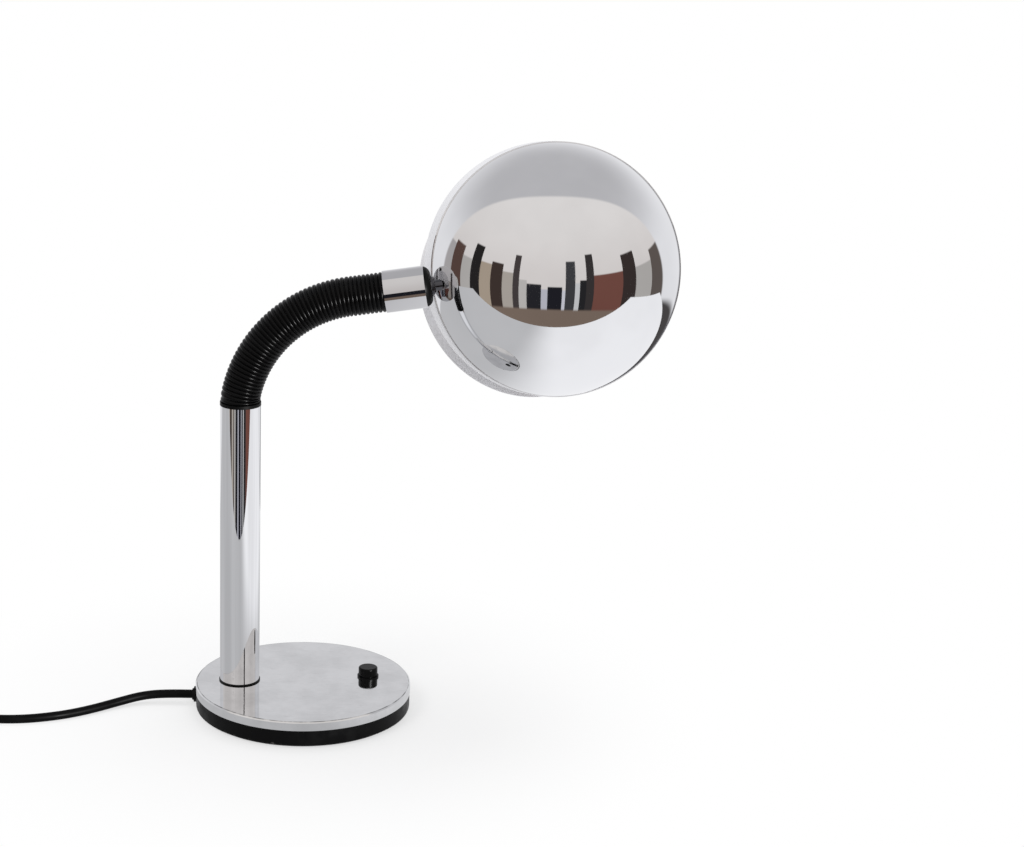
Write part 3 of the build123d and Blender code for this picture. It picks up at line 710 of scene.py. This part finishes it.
def make_bowl():
    """Shade bowl, satin outside and painted white inside."""
    outer_edge = math.acos(MOUTH_DISTANCE / BOWL_RADIUS)
    inner_edge = math.acos(MOUTH_DISTANCE / BOWL_INNER)
    outer = arc(BOWL_RADIUS, math.pi - POLE, outer_edge, BOWL_STEPS)
    inner = arc(BOWL_INNER, inner_edge, math.pi - POLE, BOWL_STEPS)
    bowl = lathe("bowl_shell", outer + inner, BALL_CENTRE, MOUTH_AXIS, BOWL_SEGMENTS)
    dress(bowl, SATIN, WHITE)
    for face in bowl.data.polygons:
        if (BOWL_STEPS + 1) * BOWL_SEGMENTS <= face.index < (2 * BOWL_STEPS + 1) * BOWL_SEGMENTS:
            face.material_index = 1
    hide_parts("shade_bowl")
    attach(bowl, "shade")


def flare(foot, along, shares):
    """Points (along, radius) of one face of the lip, from a foot radius out to its rolled edge."""
    reach = LIP_RADIUS - LIP_THICKNESS / 2 - foot
    return [(along + LIP_RISE * share**LIP_FLARE, foot + reach * share) for share in shares]


def make_lip():
    """Flared lip with a rolled edge round the bowl's mouth."""
    foot_out = math.sqrt(BOWL_RADIUS**2 - MOUTH_DISTANCE**2)
    foot_in = math.sqrt(BOWL_INNER**2 - MOUTH_DISTANCE**2)
    roll = LIP_THICKNESS / 2
    shares = [step / FLARE_STEPS for step in range(FLARE_STEPS + 1)]
    profile = flare(foot_out, MOUTH_DISTANCE, shares)
    for step in range(1, ROLL_STEPS):
        angle = math.pi * step / ROLL_STEPS
        profile.append((
            MOUTH_DISTANCE + LIP_RISE + roll * (1 - math.cos(angle)),
            LIP_RADIUS - roll + roll * math.sin(angle),
        ))
    profile += flare(foot_in, MOUTH_DISTANCE + LIP_THICKNESS, [1 - share for share in shares])
    lip = lathe("lip_ring", profile, BALL_CENTRE, MOUTH_AXIS, BOWL_SEGMENTS)
    dress(lip, SATIN)
    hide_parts("shade_lip")
    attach(lip, "shade")


# Stage: the floor's left, right, front and back, its looks, its levels in the picture, and its painted
# light in mirrors
FLOOR_SPAN = (-1.5, 1.6, -0.45, 0.50)
FLOOR_COLOR = (0.90, 0.90, 0.90)
FLOOR_ROUGHNESS = 0.85
FLOOR_FADE = (0.10, 0.34)
NEAR_WHITE = 0.62
PURE_WHITE = (1.0, 1.0, 1.0)
MIRRORED_TINT = (0.98, 0.98, 1.0)
PAINTED_MIRROR_REACH = (0.0, 0.24)
PAINTED_MIRROR_LEVELS = (0.56, 0.98)


def glow(kit, color, strength):
    node = kit.add("ShaderNodeEmission")
    kit.feed(node.inputs["Color"], color)
    kit.feed(node.inputs["Strength"], strength)
    return node.outputs["Emission"]


def mix_shaders(kit, share, first, second):
    node = kit.add("ShaderNodeMixShader")
    kit.link(share, node.inputs["Fac"])
    kit.link(first, node.inputs[1])
    kit.link(second, node.inputs[2])
    return node.outputs["Shader"]


def floor_finish():
    """Pale surface that is plain white away from the lamp, and that in mirrors glows with painted light
    without shadows, darker at the left and brighter towards the right.
    """
    finish = Finish("floor", FLOOR_COLOR, FLOOR_ROUGHNESS)
    finish.material.cycles.emission_sampling = "NONE"
    rays = finish.add("ShaderNodeLightPath").outputs
    fade = finish.span(finish.length(finish.place), *FLOOR_FADE, to_low=NEAR_WHITE)
    seen = finish.math("MULTIPLY", rays["Is Camera Ray"], fade)
    white = glow(finish, PURE_WHITE, strength=1.0)
    direct = mix_shaders(finish, seen, finish.shader.outputs["BSDF"], white)
    # Painted light: in mirrors the floor glows at a level that rises from its left to its right
    level = finish.span(finish.parts(finish.place)["X"], *PAINTED_MIRROR_REACH, *PAINTED_MIRROR_LEVELS)
    painted_mirror_glow = glow(finish, MIRRORED_TINT, level)
    surface = mix_shaders(finish, rays["Is Glossy Ray"], direct, painted_mirror_glow)
    finish.link(surface, finish.tree.nodes["Material Output"].inputs["Surface"])
    return finish.material


def make_floor():
    """Table top under the lamp."""
    left, right, front, back = FLOOR_SPAN
    corners = [(left, front, 0), (right, front, 0), (right, back, 0), (left, back, 0)]
    mesh = bpy.data.meshes.new("floor")
    mesh.from_pydata(corners, [], [(0, 1, 2, 3)])
    floor = bpy.data.objects.new("floor", mesh)
    bpy.context.scene.collection.objects.link(floor)
    floor.data.materials.append(floor_finish())


# Room that the bright metal mirrors: (degrees to the right of the camera, colour, height of its top)
ROOM = [
    (-180.0, (0.42, 0.40, 0.40), 0.20),
    (-104.0, (0.10, 0.06, 0.05), 0.24),
    (-90.0, (0.46, 0.44, 0.42), 0.14),
    (-80.0, (0.02, 0.018, 0.018), 0.34),
    (-69.0, (0.40, 0.33, 0.26), 0.16),
    (-59.0, (0.05, 0.035, 0.03), 0.20),
    (-47.0, (0.42, 0.38, 0.34), 0.10),
    (-37.0, (0.06, 0.05, 0.05), 0.36),
    (-32.0, (0.52, 0.50, 0.48), 0.02),
    (-24.0, (0.02, 0.02, 0.024), -0.03),
    (-12.0, (0.50, 0.50, 0.56), -0.10),
    (-7.0, (0.015, 0.015, 0.02), -0.06),
    (6.0, (0.62, 0.62, 0.68), -0.11),
    (9.0, (0.05, 0.05, 0.055), 0.32),
    (17.0, (0.60, 0.60, 0.61), 0.00),
    (22.0, (0.02, 0.02, 0.022), 0.04),
    (28.0, (0.04, 0.035, 0.035), 0.40),
    (34.0, (0.17, 0.07, 0.055), 0.10),
    (62.0, (0.04, 0.03, 0.028), 0.30),
    (76.0, (0.46, 0.44, 0.42), 0.10),
    (97.0, (0.12, 0.10, 0.09), 0.20),
]
ROOM_LOW = -0.45
ROOM_FLOOR = -0.40
ROOM_FLOOR_BLUR = 0.02
ROOM_TOP_BLUR = 0.012
ROOM_GROUND = (0.20, 0.15, 0.12)
WALL_LOW = (0.72, 0.68, 0.66)
WALL_HIGH = (0.82, 0.79, 0.77)
WALL_HEIGHTS = (0.0, 0.9)

# Backdrop behind and over the lamp, where it meets the room, and its two dark stretches
BACKDROP_LOW = (0.84, 0.84, 0.86)
BACKDROP_HIGH = (0.54, 0.535, 0.55)
BACKDROP_HEIGHTS = (0.05, 0.80)
BACKDROP_TILT = 0.194
BACKDROP_BOW = -0.45
BACKDROP_BLUR = 0.03
BAND_COLOR = (0.07, 0.065, 0.065)
BAND_FOOT = (-0.54, -0.48)
BAND_TOP = (-0.34, -0.28)
BAND_SIDE = (0.05, 0.25)
AHEAD_COLOR = (0.10, 0.10, 0.11)
AHEAD_Y = 0.96
AHEAD_Z = -0.27
AHEAD_REACH = (0.90, 0.97)
AHEAD_SIDE = (0.04, 0.14)

# Levels of the surroundings outside mirrors
PLAIN_LIGHT = (0.66, 0.66, 0.67)
THROUGH_GLASS = (0.9, 0.9, 0.9)


def room_steps(kit, turn, stops):
    """Colour by direction round the lamp, plain between one stop in degrees and the next."""
    node = kit.add("ShaderNodeValToRGB")
    node.color_ramp.interpolation = "CONSTANT"
    elements = node.color_ramp.elements
    for index, (angle, color) in enumerate(stops):
        place = angle / 360.0 + 0.5
        element = elements[index] if index < 2 else elements.new(place)
        element.position = place
        element.color = (*color, 1.0)
    kit.link(turn, node.inputs["Fac"])
    return node.outputs["Color"]


def room_colors(kit, x, y, z):
    """Upright things along a wall, at the camera's side of the lamp."""
    azimuth = kit.math("ARCTAN2", x, kit.math("MULTIPLY", y, -1.0))
    turn = kit.math("MULTIPLY_ADD", azimuth, 0.5 / math.pi, 0.5)
    things = room_steps(kit, turn, [(angle, color) for angle, color, _ in ROOM])
    tops = room_steps(kit, turn, [(angle, (top - ROOM_LOW,) * 3) for angle, _, top in ROOM])
    above = kit.math("SUBTRACT", z, kit.math("ADD", tops, ROOM_LOW))
    floor_line = kit.span(z, ROOM_FLOOR - ROOM_FLOOR_BLUR, ROOM_FLOOR + ROOM_FLOOR_BLUR)
    lower = kit.mix(floor_line, ROOM_GROUND, things)
    wall = kit.mix(kit.span(z, *WALL_HEIGHTS), WALL_LOW, WALL_HIGH)
    return kit.mix(kit.span(above, -ROOM_TOP_BLUR, ROOM_TOP_BLUR), lower, wall)


def backdrop_colors(kit, x, z):
    """Pale backdrop, greyer overhead, with a dark band low at the right."""
    backdrop = kit.mix(kit.span(z, *BACKDROP_HEIGHTS), BACKDROP_LOW, BACKDROP_HIGH)
    band = kit.math("MULTIPLY", kit.span(z, *BAND_FOOT), kit.span(z, *BAND_TOP, to_low=1.0, to_high=0.0))
    band = kit.math("MULTIPLY", band, kit.span(x, *BAND_SIDE))
    return kit.mix(band, backdrop, BAND_COLOR)


def make_world():
    """Plain light, and for the mirror metal a backdrop behind the lamp and a room at the camera's side."""
    world = bpy.data.worlds.new("studio")
    bpy.context.scene.world = world
    world.use_nodes = True
    world.cycles.sampling_method = "NONE"
    kit = NodeKit(world.node_tree)
    x, y, z = kit.parts(kit.add("ShaderNodeTexCoord").outputs["Generated"])
    bow = kit.math("MULTIPLY", kit.math("MULTIPLY", x, x), BACKDROP_BOW)
    behind = kit.math("ADD", kit.math("MULTIPLY_ADD", z, BACKDROP_TILT, y), bow)
    meeting = kit.span(behind, -BACKDROP_BLUR, BACKDROP_BLUR)
    studio = kit.mix(meeting, room_colors(kit, x, y, z), backdrop_colors(kit, x, z))
    ahead = kit.math("MULTIPLY_ADD", z, AHEAD_Z, kit.math("MULTIPLY", y, AHEAD_Y))
    dark = kit.math("MULTIPLY", kit.span(ahead, *AHEAD_REACH), kit.span(x, *AHEAD_SIDE))
    studio = kit.mix(dark, studio, AHEAD_COLOR)
    rays = kit.add("ShaderNodeLightPath").outputs
    plain = kit.mix(rays["Is Camera Ray"], PLAIN_LIGHT, PURE_WHITE)
    shown = kit.mix(rays["Is Glossy Ray"], plain, studio)
    shown = kit.mix(rays["Is Transmission Ray"], shown, THROUGH_GLASS)
    background = kit.tree.nodes["Background"]
    kit.link(shown, background.inputs["Color"])
    background.inputs["Strength"].default_value = 1.0


def make_lamp(name, place, target, size, power):
    """Soft round panel aimed at a point, which mirrors don't show."""
    data = bpy.data.lights.new(name, "AREA")
    data.shape = "DISK"
    data.size = size
    data.energy = power
    lamp = bpy.data.objects.new(name, data)
    lamp.visible_glossy = False
    lamp.location = place
    aim = Vector(target) - Vector(place)
    lamp.rotation_euler = aim.to_track_quat("-Z", "Y").to_euler()
    bpy.context.scene.collection.objects.link(lamp)
    return lamp


# Pieces that mirrors don't show, and black pieces that catch the gleam
UNMIRRORED = ("cord_tie", "plug_body", "plug_pins", "neck_gasket", "swivel_cap", "swivel_boss")
GLEAMING = ("neck_foot_ring", "neck_gasket", "switch_button", "switch_collar", "base_ring", "strain_relief")


def make_gleam(pieces):
    """Small lamp that lights only the black pieces, for a narrow gleam on their edges."""
    gleam = make_lamp(
        "gleam_light", place=(0.9, -1.2, 0.34), target=(0.0, 0.0, 0.25), size=0.45, power=36.0,
    )
    gleam.visible_glossy = True
    gleam.visible_diffuse = False
    lit = bpy.data.collections.new("gleaming")
    for piece in pieces:
        lit.objects.link(piece)
    gleam.light_linking.receiver_collection = lit


make_camera()
make_floor()
make_world()
make_lamp("key_light", place=(-1.4, -1.5, 2.3), target=(0.05, 0.0, 0.15), size=1.1, power=18.0)
make_lamp("top_light", place=(0.5, 0.7, 2.6), target=(0.05, 0.0, 0.1), size=1.5, power=20.0)

for node, finish in NODE_FINISHES.items():
    dress(nodes[node], finish)
    smooth(nodes[node].data, SOLID_SHARP)

cord = make_cord()
neck = make_neck()
make_dome()
make_bowl()
make_lip()
make_gleam([cord, neck] + [nodes[node] for node in GLEAMING])
for piece in [cord] + [nodes[node] for node in UNMIRRORED]:
    piece.visible_glossy = False

bpy.context.scene.view_settings.view_transform = "Standard"
